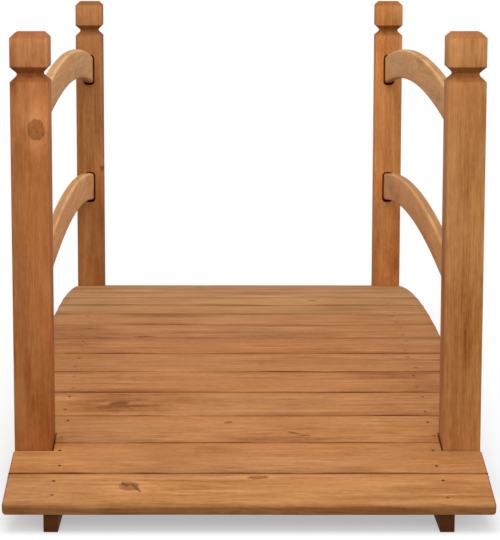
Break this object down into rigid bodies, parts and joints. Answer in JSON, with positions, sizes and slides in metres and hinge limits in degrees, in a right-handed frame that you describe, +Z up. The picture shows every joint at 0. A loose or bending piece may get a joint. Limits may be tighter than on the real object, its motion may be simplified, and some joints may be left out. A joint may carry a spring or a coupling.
{
  "type": "garden footbridge",
  "caption": "Arched wooden garden footbridge with a curved plank deck on sawn stringers, capped corner posts and a pair of arched rails along each side.",
  "frame": {"origin": "on the ground under the middle of the bridge", "axes": "+Z up from the ground, +Y along the bridge, +X to the right of someone walking along +Y"},
  "size_m": [0.6, 1.3702, 0.6],
  "materials": {
    "deck_wood": "fir planks in an orange-brown oil stain, satin",
    "stringer_wood": "fir boards in an orange-brown oil stain, satin",
    "post_wood": "square fir posts in a darker orange-brown stain, satin",
    "rail_wood": "fir boards in a lighter tan stain, satin"
  },
  "bodies": {
    "root": {"deck_plank_01": "deck_wood", "deck_plank_02": "deck_wood", "deck_plank_03": "deck_wood", "deck_plank_04": "deck_wood", "deck_plank_05": "deck_wood", "deck_plank_06": "deck_wood", "deck_plank_07": "deck_wood", "deck_plank_08": "deck_wood", "deck_plank_09": "deck_wood", "deck_plank_10": "deck_wood", "deck_plank_11": "deck_wood", "deck_plank_12": "deck_wood", "deck_plank_13": "deck_wood", "deck_plank_14": "deck_wood", "deck_plank_15": "deck_wood", "deck_plank_16": "deck_wood", "deck_plank_17": "deck_wood", "left_stringer": "stringer_wood", "right_stringer": "stringer_wood", "front_left_post": "post_wood", "front_right_post": "post_wood", "rear_left_post": "post_wood", "rear_right_post": "post_wood", "upper_left_rail": "rail_wood", "upper_right_rail": "rail_wood", "lower_left_rail": "rail_wood", "lower_right_rail": "rail_wood"}
  },
  "joints": []
}
